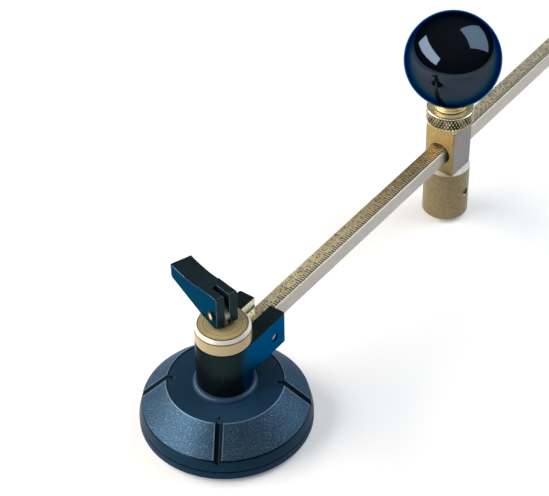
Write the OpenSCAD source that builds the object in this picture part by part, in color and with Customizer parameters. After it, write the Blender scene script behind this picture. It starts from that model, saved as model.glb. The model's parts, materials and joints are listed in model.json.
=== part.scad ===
// Glass circle cutter: a suction foot with a locking lever, a swivelling square bar
// with a scale, and a sliding cutter head with a ball knob.
// The foot's pivot axis is +Z, the sealing ring lies on z = 0 and the bar runs along +X.

/* [Suction foot] */
// Outer diameter of the foot
foot_d = 55; // [50:0.5:66]
// Height of the rubber rim below the cover
rim_h = 4.3; // [3.6:0.1:6]
// Height of the bevelled lip at the bottom of the rim
lip_h = 1.5; // [0.8:0.1:2.2]
// How far the lip draws in
lip_in = 1.6; // [0.8:0.1:3]
// Width of the flat sealing ring
seal_w = 4.5; // [3:0.1:6]
// Depth of the suction cup at its centre
cup_depth = 1.2; // [0.6:0.1:1.6]
// Rubber between the cup and the insert
web_t = 1.4; // [1:0.1:2.4]
// Diameter of the steel insert in the pad
insert_d = 19; // [15:0.5:22]
// Thickness of the steel insert
insert_t = 1.5; // [1:0.1:2]
// Rubber above the insert
boss_t = 1.3; // [0.8:0.1:2]

/* [Foot cover] */
// Height of the cover from the rim to its flat top
cover_h = 12; // [11:0.2:15]
// Wall of the cover
cover_wall = 2.2; // [1.6:0.1:3]
// Height of the plain skirt
skirt_h = 3.5; // [2.5:0.1:5]
// Draft of the skirt
skirt_draft = 0.9; // [0.3:0.1:2]
// Diameter of the flat top
flat_d = 36.2; // [32:0.2:40]
// Rise of the panels above the cone
panel_rise = 0.45; // [0.2:0.05:0.8]
// Panels in from the top of the skirt
panel_inset = 0.6; // [0.2:0.1:1.5]
// Diameter of the cutter that makes the radial grooves
groove_d = 2.5; // [1.6:0.1:3.4]
// Depth of the grooves below the cone
groove_depth = 0.5; // [0.2:0.05:0.8]
// Reach of the grooves onto the flat top
groove_in = 1.5; // [0.5:0.1:3]
// Number of radial grooves
groove_count = 4; // [3:1:6]
// Turn of the first groove from the bar
groove_turn = 32; // [0:1:89]
// Diameter of the collar under the swivel
collar_d = 20.4; // [19:0.2:24]
// Height of the collar
collar_h = 1.3; // [1:0.1:2.5]

/* [Swivel] */
// Diameter of the spindle
spindle_d = 10; // [8.5:0.1:11]
// Wall of the bearing bush
bush_wall = 1; // [0.8:0.1:1.4]
// Thickness of the thrust washers
washer_t = 0.4; // [0.3:0.1:1]
// Diameter of the swivel sleeve and width of its fork
sleeve_d = 17.7; // [17:0.1:20]
// Height of the swivel sleeve
sleeve_h = 17; // [15:0.5:24]
// Wall between the bush and the fork's slot
sleeve_wall = 1.7; // [1.2:0.1:3]
// Height of the fork's cheeks
cheek_h = 11.6; // [10:0.2:14]
// Reach of the cheeks past the pivot pin
cheek_past = 5.4; // [3:0.2:8]
// Corner radius at the ends of the cheeks
cheek_round = 0.8; // [0.3:0.1:1.5]
// Diameter of the bar's pivot pin
pivot_d = 3; // [2:0.1:3.6]

/* [Measuring bar] */
// Width and height of the square bar
bar_w = 6; // [5:0.1:7]
// Bevel along the bar's edges
bar_bevel = 0.45; // [0.2:0.05:0.8]
// Bar behind its pivot pin
bar_heel = 5.5; // [4:0.1:7]
// End of the bar from the foot's axis
bar_reach = 312; // [200:1:420]
// Depth of the bar's top below the top of the cheeks
bar_drop = 3.3; // [2:0.1:4]

/* [Locking lever] */
// Height of the brass cap
cap_h = 5.85; // [5:0.1:8]
// Height of the cap's chamfer
cap_chamfer_h = 1.5; // [0.5:0.1:2.5]
// Width of the cap's chamfer
cap_chamfer_w = 1; // [0.3:0.1:1.6]
// Diameter of the pull rod
rod_d = 4.4; // [3.6:0.1:4.8]
// Turn of the lever from the bar
lever_turn = 69; // [0:1:359]
// Lever from its pin to its tip
lever_l = 24.5; // [19:0.5:32]
// Width of the lever
lever_w = 7.4; // [6.4:0.1:8.4]
// Width of the fork's slot
slot_w = 1.8; // [1.4:0.1:2.4]
// Slot behind the pin
slot_back = 4.4; // [3.8:0.1:5.5]
// Diameter of the lever's pin
lever_pin_d = 3; // [2:0.1:3.4]
// Lever's pin proud of the fork on its far side
lever_pin_proud = 0.6; // [0:0.1:1.2]
// Pin above the lever's sole
cam_h = 4.1; // [3.6:0.1:5]
// Pin to the lever's front face
cam_front = 3.1; // [2.6:0.1:3.2]
// Radius of the cam between the sole and the front face
cam_round = 2.3; // [1.6:0.1:2.4]
// Length of the sole behind the pin
sole_back = 6.7; // [5.5:0.1:9]
// Front face above the pin
brow_h = 8.75; // [7:0.1:10]
// Shoulder of the thumb rest behind the pin
rest_back = 7.7; // [6:0.1:10]
// Front of the thumb rest above the pin
rest_h = 5.65; // [4.5:0.1:6.5]
// Step up from the thumb rest to the fork
rest_step = 0.35; // [0.1:0.05:0.8]
// Hollow of the thumb rest
rest_hollow = 0.55; // [0.2:0.05:0.8]
// Top of the tip above the pin
tip_top = 2.75; // [2:0.1:4]
// Thickness of the tip
tip_t = 5.2; // [3.5:0.1:6]
// Radius at the lever's front and tip edges
lever_round = 0.6; // [0.2:0.1:0.8]

/* [Cutter head] */
// Place of the head along the bar
head_x = 126.5; // [60:0.5:190]
// Diameter of the head
head_d = 16; // [14.6:0.1:20]
// Width across the milled flats
flats_w = 11.4; // [10.8:0.1:13.5]
// Bottom of the flats below the bar's centre
flats_down = 7.7; // [6.5:0.1:12]
// Top of the head above the bar's centre
head_up = 10.3; // [9:0.1:14]
// Chamfer at the ends of the head
head_chamfer = 0.4; // [0.2:0.1:0.8]
// Head above the glass
head_lift = 1.35; // [1.2:0.05:1.8]

/* [Clamp screw and knob] */
// Knurling proud of the head, on the radius
knurl_over = 0.2; // [0:0.05:2]
// Height of the knurled band
knurl_h = 4.8; // [3:0.1:6]
// Height of the bright chamfer above the knurling
knurl_chamfer_h = 0.5; // [0.3:0.1:2]
// Width of the bright chamfer
knurl_chamfer_w = 0.5; // [0.3:0.1:1.5]
// Gap between the head and the knurled head when clamped
clamp_gap = 1.7; // [1.6:0.1:3]
// Diameter of the clamp screw's shank
shank_d = 6; // [5:0.1:7]
// Thickness of the pressure plug
plug_t = 2; // [1.4:0.1:3]
// Diameter of the neck under the ball
neck_d = 10.4; // [9.4:0.1:13]
// Height of the neck
neck_h = 4.7; // [4:0.1:8]
// Height of the bead at the neck's foot
bead_h = 1; // [0.5:0.1:1.6]
// Diameter of the ball knob
ball_d = 33; // [26:0.5:40]
// Depth of the flat under the ball
ball_flat = 2.2; // [1.4:0.1:3]
// Diameter of the threaded bush in the ball
ball_bush_d = 8; // [7:0.1:9]
// Length of the threaded bush in the ball
ball_bush_l = 11; // [8:0.5:15]
// Diameter of the stud between screw and ball
stud_d = 5; // [4:0.1:5.6]

/* [Cutting wheel] */
// Diameter of the cutting wheel
wheel_d = 5.6; // [4.8:0.1:6]
// Thickness of the cutting wheel
wheel_t = 1.1; // [0.8:0.1:1.6]
// Width of the wheel's ground edge on each side
wheel_edge = 0.8; // [0.4:0.1:1]
// Diameter of the wheel's axle
axle_d = 1.4; // [0.8:0.1:1.8]
// Diameter of the wheel holder
holder_d = 6.4; // [6:0.1:7.4]
// Length of the wheel holder
holder_l = 15; // [14:0.5:18]
// Holder's end below the head
holder_out = 0.35; // [0.1:0.05:0.6]
// Diameter of the set screw
grub_d = 3; // [2:0.1:4]
// Set screw above the glass
grub_z = 11.5; // [9:0.1:12]
// Depth of the flat that the set screw bears on
grub_flat = 0.6; // [0.3:0.1:1]
// Set screw below the head's surface
grub_sink = 0.5; // [0.2:0.1:1]
// Width of the set screw's slot
grub_slot = 0.6; // [0.4:0.1:0.8]

/* [Clearances] */
// Gap at parts that turn or slide, on the radius
run_gap = 0.05; // [0.02:0.01:0.08]
// Gap at parts that are pressed or screwed together
seat_gap = 0.02; // [0.01:0.01:0.04]
// Gap at parts that pass each other
pass_gap = 0.1; // [0.05:0.01:0.2]
// Gap between the lever's sole and the cap
sole_gap = 0.4; // [0.4:0.05:0.6]
// Gap behind the bar's heel as it swings
heel_gap = 0.4; // [0.2:0.1:0.8]

/* [Hidden] */
$fn = 96;
eps = 0.01;
foot_r = foot_d / 2;
lip_r = foot_r - lip_in;
cup_r = lip_r - seal_w;
// Centre height of the sphere that hollows the cup
cup_ball_r = (cup_r * cup_r + cup_depth * cup_depth) / (2 * cup_depth);
insert_r = insert_d / 2;
insert_z = cup_depth + web_t;
insert_top = insert_z + insert_t;
boss_r = insert_r + boss_t;
boss_top = insert_top + boss_t;
// Threaded boss of the insert, which takes the rod's end
rod_r = rod_d / 2;
rod_nut_r = rod_r + insert_t;
nut_gap = 0.5;

seam_z = rim_h;
flat_z = seam_z + cover_h;
flat_r = flat_d / 2;
cone_r = foot_r - skirt_draft;
cone_z = seam_z + skirt_h;
cone_run = cone_r - flat_r;
cone_rise = flat_z - cone_z;
cone_slant = norm([cone_run, cone_rise]);
cone_angle = atan2(cone_rise, cone_run);
// Steps along the cone and square to it
cone_along = [cone_run, -cone_rise] / cone_slant;
cone_out = [cone_rise, cone_run] / cone_slant;
cover_in_r = foot_r - skirt_draft - cover_wall;
roof_z = flat_z - cover_wall;
collar_r = collar_d / 2;
collar_z = flat_z + collar_h;
collar_round = min(collar_h, collar_r - sleeve_d / 2) * 0.97;

spindle_r = spindle_d / 2;
spindle_bore_r = rod_r + pass_gap;
flange_r = spindle_r + cover_wall;
flange_t = cover_wall;
flange_z = roof_z - 2 * flange_t;
rod_nut_top = min(insert_top + rod_d, flange_z - nut_gap);
bush_in_r = spindle_r + run_gap;
bush_r = bush_in_r + bush_wall;
sleeve_r = sleeve_d / 2;
sleeve_z = collar_z + washer_t;
sleeve_top = sleeve_z + sleeve_h;
washer_in_r = spindle_r + pass_gap;
washer_r = bush_r + washer_in_r - spindle_r + sleeve_wall;
cap_z = sleeve_top + run_gap + washer_t;
cap_top = cap_z + cap_h;
// The spindle's neck is screwed into the cap
cap_neck_r = spindle_r - bush_wall / 2;
cap_neck_h = cap_h / 2;
neck_root = cap_neck_r - seat_gap;

bar_h = bar_w / 2;
bar_z = sleeve_top - bar_drop - bar_h;
bar_side = bar_h - bar_bevel;
bar_corner_r = norm([bar_h, bar_side]);
cheek_z = sleeve_top - cheek_h;
fork_back = bush_r + sleeve_wall;
fork_half = bar_h + pass_gap;
heel_swing = norm([bar_heel, bar_h]);
pivot_x = fork_back + heel_gap + heel_swing;
pivot_r = pivot_d / 2;
cheek_end = pivot_x + cheek_past;
pivot_sink = 0.3;

lever_z = cap_top + sole_gap + cam_h;
lever_pin_r = lever_pin_d / 2;
eye_r = min(slot_back - 3 * pass_gap, cam_h - 2 * sole_gap - eps, cam_front + pass_gap);
eye_t = slot_w - 2 * pass_gap;
rod_shoulder = cap_top - sole_gap;
rest_run = lever_l - rest_back;
rest_fall = rest_h - tip_top;
rest_chord = norm([rest_run, rest_fall]);
rest_r = (rest_chord * rest_chord / 4 + rest_hollow * rest_hollow) / (2 * rest_hollow);
rest_mid = [(rest_back + lever_l) / 2, (rest_h + tip_top) / 2];
rest_up = [rest_fall, rest_run] / rest_chord;
rest_centre = rest_mid + rest_up * (rest_r - rest_hollow);

head_r = head_d / 2;
head_top = bar_z + head_up;
flats_z = bar_z - flats_down;
hole_r = bar_corner_r + pass_gap;
shank_r = shank_d / 2;
tapped_r = shank_r + run_gap;
plug_z = bar_z + bar_h;
plug_top = plug_z + plug_t;
plug_r = shank_r - pass_gap;
spigot_r = shank_r / 2;
spigot_h = plug_t;
knurl_r = head_r + knurl_over;
knurl_z = head_top + clamp_gap;
knurl_top = knurl_z + knurl_h;
screw_top = knurl_top + knurl_chamfer_h;
neck_r = neck_d / 2;
bead_r = neck_r + bead_h / 2;
ball_r = ball_d / 2;
ball_base = screw_top + neck_h;
ball_z = ball_base + ball_r - ball_flat;
stud_r = stud_d / 2;
stud_z = knurl_z + knurl_h / 2;
ball_bush_r = ball_bush_d / 2;
ball_bush_top = ball_base + ball_bush_l;
stud_top = ball_bush_top - ball_bush_l / 4;

wheel_r = wheel_d / 2;
wheel_h = wheel_t / 2;
wheel_slot = wheel_t + 2 * run_gap;
wheel_space = wheel_r + 4 * pass_gap;
axle_r = axle_d / 2;
holder_r = holder_d / 2;
holder_z = head_lift - holder_out;
holder_top = holder_z + holder_l;
axle_half = sqrt(pow(holder_r, 2) - pow(axle_r, 2)) - seat_gap;
grub_r = grub_d / 2;
grub_in = holder_r - grub_flat + seat_gap;
grub_out = sqrt(pow(head_r, 2) - pow(grub_r, 2)) - grub_sink;
grub_slot_depth = grub_slot * 1.5;

rubber = "#1c2230";
navy = "#16202e";
gloss_navy = "#101a2c";
brass = "#c2a35a";
steel = "#b9bcc0";
bronze = "#a8803f";
black = "#0b0d12";

// A ring with square edges, standing on z
module tube(z, h, r, bore) {
    translate([0, 0, z])
        difference() {
            cylinder(h = h, r = r);
            translate([0, 0, -eps])
                cylinder(h = h + 2 * eps, r = bore);
        }
}

// A round bar along X, from x0 to x1
module bar_x(x0, x1, r) {
    translate([x0, 0, 0])
        rotate([0, 90, 0])
            cylinder(h = x1 - x0, r = r);
}

// A round bar along Y, from y0 to y1
module bar_y(y0, y1, r) {
    translate([0, y1, 0])
        rotate([90, 0, 0])
            cylinder(h = y1 - y0, r = r);
}

// What a radius takes off a square corner that opens towards +X and +Y
module corner_waste(r) {
    difference() {
        translate([-eps, -eps])
            square(r + eps);
        translate([r, r])
            circle(r);
    }
}

// Stands a side view, drawn along the lever and up, in the lever's plane about its pin
module in_lever_plane(width) {
    translate([0, 0, lever_z])
        rotate([0, 0, lever_turn])
            rotate([90, 0, 0])
                translate([0, 0, -width / 2])
                    linear_extrude(width)
                        children();
}

// Moves the cutter head's own axis to its place on the bar
module at_head() {
    translate([head_x, 0, 0])
        children();
}

// Rubber pad: bevelled lip, shallow cup and a boss moulded round the insert
module suction_pad() {
    color(rubber)
        rotate_extrude()
            difference() {
                union() {
                    polygon([
                        [0, 0], [lip_r, 0], [foot_r, lip_h], [foot_r, seam_z],
                        [cup_r, seam_z], [boss_r, insert_top], [0, insert_top],
                    ]);
                    square([boss_r, boss_top]);
                    square([cover_in_r - pass_gap, seam_z + cover_wall / 2]);
                }
                translate([boss_r, insert_top])
                    square([cup_r - boss_r, cover_h]);
                translate([0, cup_depth - cup_ball_r])
                    circle(cup_ball_r, $fn = 1440);
                translate([0, insert_z])
                    square([insert_r + run_gap, insert_t]);
                translate([0, insert_z])
                    square([rod_nut_r + run_gap, cover_h]);
            }
}

// Steel disc in the pad, with a threaded boss for the rod
module pad_insert() {
    color(steel)
        difference() {
            union() {
                translate([0, 0, insert_z])
                    cylinder(h = insert_t - run_gap, r = insert_r);
                translate([0, 0, insert_z])
                    cylinder(h = rod_nut_top - insert_z, r = rod_nut_r);
            }
            translate([0, 0, insert_top - run_gap])
                cylinder(h = rod_nut_top, r = rod_r + seat_gap);
        }
}

// Outline of the cover's wall, with the raised band of panels on its cone
module cover_profile() {
    band_in = [flat_r, flat_z] + cone_out * panel_rise;
    ledge = [cone_r, cone_z] - cone_along * panel_inset;
    band_out = ledge + cone_out * panel_rise;
    difference() {
        polygon([
            [spindle_r + seat_gap, roof_z - flange_t], [flange_r, roof_z - flange_t],
            [flange_r, roof_z], [flat_r - cover_wall / 2, roof_z],
            [cover_in_r, cone_z - cover_wall / 2], [cover_in_r, seam_z],
            [foot_r, seam_z], [cone_r, cone_z], ledge, band_out, band_in, [flat_r, flat_z],
            [collar_r, flat_z], [collar_r, collar_z], [spindle_r + seat_gap, collar_z],
        ]);
        translate([collar_r, collar_z])
            rotate(180)
                corner_waste(collar_round);
    }
}

// Moulded cover: a cone with four raised panels parted by radial grooves
module foot_cover() {
    groove_r = groove_d / 2;
    lift = groove_r - groove_depth;
    color(navy)
        difference() {
            rotate_extrude()
                cover_profile();
            for (i = [0 : groove_count - 1])
                rotate([0, 0, groove_turn + i * 360 / groove_count])
                    translate([flat_r, 0, flat_z]) {
                        rotate([0, cone_angle, 0])
                            translate([-cone_slant / 2, 0, lift])
                                bar_x(0, cone_slant * 3 / 2 + groove_r, groove_r);
                        translate([0, 0, lift])
                            bar_x(-groove_in, 0, groove_r);
                        translate([-groove_in, 0, lift])
                            sphere(groove_r);
                    }
        }
}

// Hollow spindle that carries the sleeve; its flange sits under the cover's roof
module spindle() {
    color(steel)
        difference() {
            union() {
                translate([0, 0, flange_z])
                    cylinder(h = flange_t, r = flange_r);
                translate([0, 0, flange_z])
                    cylinder(h = cap_z - flange_z, r = spindle_r);
                translate([0, 0, flange_z])
                    cylinder(h = cap_z + cap_neck_h - seat_gap - flange_z, r = neck_root);
            }
            translate([0, 0, flange_z - eps])
                cylinder(h = cap_top, r = spindle_bore_r);
        }
}

// Thrust washer between the cover's collar and the sleeve
module lower_washer() {
    color(bronze)
        tube(collar_z, washer_t, washer_r, washer_in_r);
}

// Thrust washer between the sleeve and the cap
module upper_washer() {
    color(bronze)
        tube(cap_z - washer_t, washer_t, washer_r, washer_in_r);
}

// Turned brass cap that the lever bears on
module top_cap() {
    shoulder = cap_top - cap_chamfer_h;
    color(brass)
        rotate_extrude()
            polygon([
                [cap_neck_r, cap_z], [sleeve_r, cap_z], [sleeve_r, shoulder],
                [sleeve_r - cap_chamfer_w, cap_top], [spindle_bore_r, cap_top],
                [spindle_bore_r, cap_z + cap_neck_h], [cap_neck_r, cap_z + cap_neck_h],
            ]);
}

// Rod from the insert up to a flat eye in the lever's fork
module pull_rod() {
    rod_z = insert_top;
    color(steel)
        difference() {
            union() {
                translate([0, 0, rod_z])
                    cylinder(h = rod_shoulder - rod_z, r = rod_r);
                intersection() {
                    translate([0, 0, rod_z])
                        cylinder(h = lever_z - rod_z, r = rod_r);
                    in_lever_plane(eye_t)
                        translate([-rod_d, rod_shoulder - lever_z - eps])
                            square([2 * rod_d, lever_z]);
                }
                in_lever_plane(eye_t)
                    circle(eye_r);
            }
            in_lever_plane(2 * eye_t)
                circle(lever_pin_r + seat_gap);
        }
}

// Brass pin through the fork and the rod's eye
module lever_pin() {
    near = lever_w / 2 - pass_gap;
    color(brass)
        translate([0, 0, lever_z])
            rotate([0, 0, lever_turn])
                rotate([90, 0, 0])
                    translate([0, 0, -near])
                        cylinder(h = near + lever_w / 2 + lever_pin_proud, r = lever_pin_r);
}

// Side view of the lever about its pin: cam sole, fork and hollowed thumb rest
module lever_profile() {
    difference() {
        polygon([
            [-cam_front, -cam_h], [sole_back, -cam_h], [lever_l - lever_round, tip_top - tip_t],
            [lever_l, tip_top - tip_t + lever_round], [lever_l, tip_top], [rest_back, rest_h],
            [rest_back, rest_h + rest_step], [-cam_front, brow_h],
        ]);
        intersection() {
            translate(rest_centre)
                circle(rest_r, $fn = 360);
            translate([rest_back, -cam_h])
                square([lever_l, 2 * brow_h]);
        }
        translate([-cam_front, -cam_h])
            corner_waste(cam_round);
        translate([-cam_front, brow_h])
            rotate(-90)
                corner_waste(lever_round);
    }
}

// Forked locking lever; it bears on the cap with its cam
module lever() {
    slot_x = -cam_front - 1;
    color(gloss_navy)
        difference() {
            in_lever_plane(lever_w)
                lever_profile();
            in_lever_plane(slot_w)
                translate([slot_x, -cam_h - 1])
                    square([slot_back - slot_x, brow_h + cam_h + 2]);
            in_lever_plane(2 * lever_w)
                circle(lever_pin_r + run_gap);
        }
}

// Plan of the fork: straight cheeks from the sleeve, with rounded ends
module fork_plan() {
    difference() {
        translate([0, -sleeve_r])
            square([cheek_end, sleeve_d]);
        for (side = [-1, 1])
            translate([cheek_end, side * sleeve_r])
                rotate(side > 0 ? 180 : 90)
                    corner_waste(cheek_round);
    }
}

// Sleeve that turns on the spindle, with a fork for the bar
module swivel_sleeve() {
    color(gloss_navy)
        difference() {
            union() {
                translate([0, 0, sleeve_z])
                    cylinder(h = sleeve_h, r = sleeve_r);
                translate([0, 0, cheek_z])
                    linear_extrude(cheek_h)
                        fork_plan();
            }
            translate([0, 0, sleeve_z - eps])
                cylinder(h = sleeve_h + 2 * eps, r = bush_r + seat_gap);
            translate([fork_back, -fork_half, sleeve_z - eps])
                cube([cheek_end, 2 * fork_half, sleeve_h + 2 * eps]);
            translate([pivot_x, 0, bar_z])
                bar_y(-sleeve_d, sleeve_d, pivot_r + seat_gap);
        }
}

// Bronze bush between the sleeve and the spindle
module bearing_bush() {
    color(bronze)
        tube(sleeve_z, sleeve_h, bush_r, bush_in_r);
}

// Steel pin that the bar swings on
module bar_pivot_pin() {
    color(steel)
        translate([pivot_x, 0, bar_z])
            bar_y(-sleeve_r + pivot_sink, sleeve_r - pivot_sink, pivot_r);
}

// Square brass bar with bevelled edges
module measuring_bar() {
    color(brass)
        difference() {
            translate([pivot_x - bar_heel, 0, bar_z])
                rotate([90, 0, 90])
                    linear_extrude(bar_reach - pivot_x + bar_heel)
                        polygon([
                            [-bar_h, -bar_side], [-bar_side, -bar_h],
                            [bar_side, -bar_h], [bar_h, -bar_side],
                            [bar_h, bar_side], [bar_side, bar_h],
                            [-bar_side, bar_h], [-bar_h, bar_side],
                        ]);
            translate([pivot_x, 0, bar_z])
                bar_y(-bar_w, bar_w, pivot_r + run_gap);
        }
}

// Outline of the turned head, with chamfered ends
module head_profile() {
    polygon([
        [0, head_lift], [head_r - head_chamfer, head_lift],
        [head_r, head_lift + head_chamfer], [head_r, head_top - head_chamfer],
        [head_r - head_chamfer, head_top], [0, head_top],
    ]);
}

// Brass head: a turned body with four milled flats, bored for the bar, screw and holder
module head_body() {
    color(brass)
        at_head()
            difference() {
                rotate_extrude()
                    head_profile();
                for (turn = [0 : 90 : 270])
                    rotate([0, 0, turn])
                        translate([flats_w / 2, -head_d, flats_z])
                            cube([head_d, 2 * head_d, head_up + flats_down + 1]);
                translate([0, 0, bar_z])
                    bar_x(-head_d, head_d, hole_r);
                translate([0, 0, bar_z])
                    cylinder(h = head_up + 1, r = tapped_r);
                cylinder(h = holder_top + seat_gap, r = holder_r + seat_gap);
                translate([0, 0, grub_z])
                    bar_y(-head_d, 0, grub_r + seat_gap);
            }
}

// Steel holder in the head's lower bore, slotted for the wheel
module wheel_holder() {
    color(steel)
        at_head()
            difference() {
                translate([0, 0, holder_z])
                    cylinder(h = holder_l, r = holder_r);
                translate([-wheel_slot / 2, -holder_d, -eps])
                    cube([wheel_slot, 2 * holder_d, wheel_r + wheel_space]);
                translate([0, 0, wheel_r])
                    bar_x(-holder_d, holder_d, axle_r + seat_gap);
                translate([-holder_d, -holder_d, grub_z - grub_d])
                    cube([2 * holder_d, holder_d - holder_r + grub_flat, holder_l]);
            }
}

// Pin that the cutting wheel turns on
module wheel_axle() {
    color(steel)
        at_head()
            translate([0, 0, wheel_r])
                bar_x(-axle_half, axle_half, axle_r);
}

// Cutting wheel with a ground edge; it stands on the glass and rolls across the bar
module cutting_wheel() {
    land = wheel_r - wheel_edge;
    color("#8d9096")
        at_head()
            translate([0, 0, wheel_r])
                rotate([0, 90, 0])
                    rotate_extrude()
                        polygon([
                            [axle_r + run_gap, -wheel_h], [land, -wheel_h],
                            [wheel_r, 0], [land, wheel_h],
                            [axle_r + run_gap, wheel_h],
                        ]);
}

// Slotted set screw that holds the wheel holder
module holder_set_screw() {
    color(steel)
        at_head()
            translate([0, 0, grub_z])
                difference() {
                    bar_y(-grub_out, -grub_in, grub_r);
                    translate([-grub_slot / 2, -grub_out - eps, -grub_d])
                        cube([grub_slot, grub_slot_depth, 2 * grub_d]);
                }
}

// Pressure plug that the clamp screw pushes on the bar
module clamp_plug() {
    color(brass)
        at_head() {
            translate([0, 0, plug_z])
                cylinder(h = plug_t, r = plug_r);
            translate([0, 0, plug_z])
                cylinder(h = plug_t + spigot_h, r = spigot_r);
        }
}

// Clamp screw: shank, knurled head with a bright chamfer and a stepped neck
module clamp_screw() {
    rim = knurl_chamfer_w;
    color(brass)
        at_head()
            difference() {
                rotate_extrude()
                    polygon([
                        [0, plug_top], [shank_r, plug_top], [shank_r, knurl_z],
                        [knurl_r - rim / 2, knurl_z], [knurl_r, knurl_z + rim / 2],
                        [knurl_r, knurl_top], [knurl_r - rim, screw_top],
                        [bead_r, screw_top], [bead_r, screw_top + bead_h],
                        [neck_r, screw_top + bead_h], [neck_r, ball_base], [0, ball_base],
                    ]);
                translate([0, 0, plug_top - eps])
                    cylinder(h = spigot_h + pass_gap, r = spigot_r + run_gap);
                translate([0, 0, stud_z])
                    cylinder(h = ball_base, r = stud_r + seat_gap);
            }
}

// Stud that joins the screw and the ball
module knob_stud() {
    color(steel)
        at_head()
            translate([0, 0, stud_z])
                cylinder(h = stud_top - stud_z, r = stud_r);
}

// Threaded bush moulded into the ball
module knob_bush() {
    color(brass)
        at_head()
            difference() {
                translate([0, 0, ball_base])
                    cylinder(h = ball_bush_l, r = ball_bush_r);
                translate([0, 0, ball_base - eps])
                    cylinder(h = stud_top - ball_base + seat_gap, r = stud_r + seat_gap);
            }
}

// Ball knob with a flat underneath
module ball_knob() {
    color(black)
        at_head()
            difference() {
                translate([0, 0, ball_z])
                    sphere(ball_r);
                translate([0, 0, ball_z - ball_d])
                    cylinder(h = ball_base - ball_z + ball_d, r = ball_d);
                translate([0, 0, ball_base - 1])
                    cylinder(h = ball_bush_l + 1 + seat_gap, r = ball_bush_r + seat_gap);
            }
}

suction_pad();
pad_insert();
foot_cover();
spindle();
lower_washer();
upper_washer();
top_cap();
pull_rod();
lever_pin();
lever();
swivel_sleeve();
bearing_bush();
bar_pivot_pin();
measuring_bar();
head_body();
wheel_holder();
wheel_axle();
cutting_wheel();
holder_set_screw();
clamp_plug();
clamp_screw();
knob_stud();
knob_bush();
ball_knob();
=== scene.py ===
import json
import math

import bmesh
import bpy
from mathutils import Matrix, Quaternion, Vector


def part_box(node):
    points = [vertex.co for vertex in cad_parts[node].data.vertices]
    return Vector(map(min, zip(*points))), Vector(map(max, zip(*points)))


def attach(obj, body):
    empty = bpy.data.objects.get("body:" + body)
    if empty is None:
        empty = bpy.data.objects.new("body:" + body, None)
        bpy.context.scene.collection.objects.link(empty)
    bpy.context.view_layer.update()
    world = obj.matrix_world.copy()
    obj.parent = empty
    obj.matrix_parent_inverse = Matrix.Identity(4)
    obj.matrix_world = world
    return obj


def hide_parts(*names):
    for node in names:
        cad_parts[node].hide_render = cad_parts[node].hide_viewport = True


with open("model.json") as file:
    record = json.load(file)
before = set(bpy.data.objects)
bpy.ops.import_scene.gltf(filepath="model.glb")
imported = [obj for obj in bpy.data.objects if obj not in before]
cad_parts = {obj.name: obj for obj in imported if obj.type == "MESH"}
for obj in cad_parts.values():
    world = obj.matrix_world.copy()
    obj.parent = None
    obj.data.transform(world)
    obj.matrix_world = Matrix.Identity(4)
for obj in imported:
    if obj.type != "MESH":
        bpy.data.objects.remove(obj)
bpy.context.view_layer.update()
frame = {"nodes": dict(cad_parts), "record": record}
nodes = frame["nodes"]
record = frame["record"]
mm = 0.001
bodyOfNode = {n: body for body, group in record["behaviour"]["bodies"].items() for n in group}
slotOfNode = {row["node"]: row["material_slot"] for row in record["subparts"]}
print("frame loaded:", len(nodes), "nodes,", len(bodyOfNode), "on bodies")


# Shader node groups, shared by the finishes below

valueKind = "NodeSocketFloat"
colourKind = "NodeSocketColor"
vectorKind = "NodeSocketVector"
# sockets of a Mix node that is set to colours
mixFactor, mixUnder, mixOver, mixResult = 0, 6, 7, 2


def startGroup(name, inputs, outputs):
    # an input's value tells its kind, and Color is the only output that isn't a number
    group = bpy.data.node_groups.new(name, "ShaderNodeTree")
    for label, value in inputs.items():
        kind = {3: vectorKind, 4: colourKind}[len(value)] if isinstance(value, tuple) else valueKind
        socket = group.interface.new_socket(name=label, in_out="INPUT", socket_type=kind)
        socket.default_value = value
    for label in outputs:
        kind = colourKind if label == "Color" else valueKind
        group.interface.new_socket(name=label, in_out="OUTPUT", socket_type=kind)
    place = addNode(group, "TexCoord")
    return group, place, group.nodes.new("NodeGroupInput"), group.nodes.new("NodeGroupOutput")


def addNode(tree, kind, values=None, **settings):
    node = tree.nodes.new("ShaderNode" + kind)
    for key, value in settings.items():
        setattr(node, key, value)
    for key, value in (values or {}).items():
        node.inputs[key].default_value = value
    return node


def join(tree, *wires):
    # each wire runs from a node's output to another node's input
    for source, output, target, entry in wires:
        tree.links.new(source.outputs[output], target.inputs[entry])


def buildMottle():
    # slow change of tone over a surface, from Low to High
    group, place, start, end = startGroup(
        "surfaceMottle", {"Scale": 120.0, "Spread": 0.2, "Low": (0, 0, 0, 1), "High": (1, 1, 1, 1)},
        ["Color", "Mask"])
    cloud = addNode(group, "TexNoise", {"Detail": 5.0, "Roughness": 0.6})
    below = addNode(group, "Math", {0: 0.5}, operation="SUBTRACT")
    above = addNode(group, "Math", {0: 0.5}, operation="ADD")
    span = addNode(group, "MapRange")
    blend = addNode(group, "Mix", data_type="RGBA")
    join(group,
         (place, "Object", cloud, "Vector"), (start, "Scale", cloud, "Scale"),
         (start, "Spread", below, 1), (start, "Spread", above, 1), (cloud, "Fac", span, "Value"),
         (below, 0, span, "From Min"), (above, 0, span, "From Max"),
         (span, "Result", blend, mixFactor), (start, "Low", blend, mixUnder),
         (start, "High", blend, mixOver), (blend, mixResult, end, "Color"), (span, "Result", end, "Mask"))
    return group


def buildGrain():
    # moulded or blasted grain: a height for the bump and a mask of its bright specks
    group, place, start, end = startGroup(
        "fineGrain", {"Scale": 2000.0, "Speck From": 0.55, "Speck To": 0.7}, ["Height", "Specks"])
    grit = addNode(group, "TexNoise", {"Detail": 2.0, "Roughness": 0.65})
    span = addNode(group, "MapRange")
    join(group,
         (place, "Object", grit, "Vector"), (start, "Scale", grit, "Scale"), (grit, "Fac", span, "Value"),
         (start, "Speck From", span, "From Min"), (start, "Speck To", span, "From Max"),
         (grit, "Fac", end, "Height"), (span, "Result", end, "Specks"))
    return group


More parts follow.
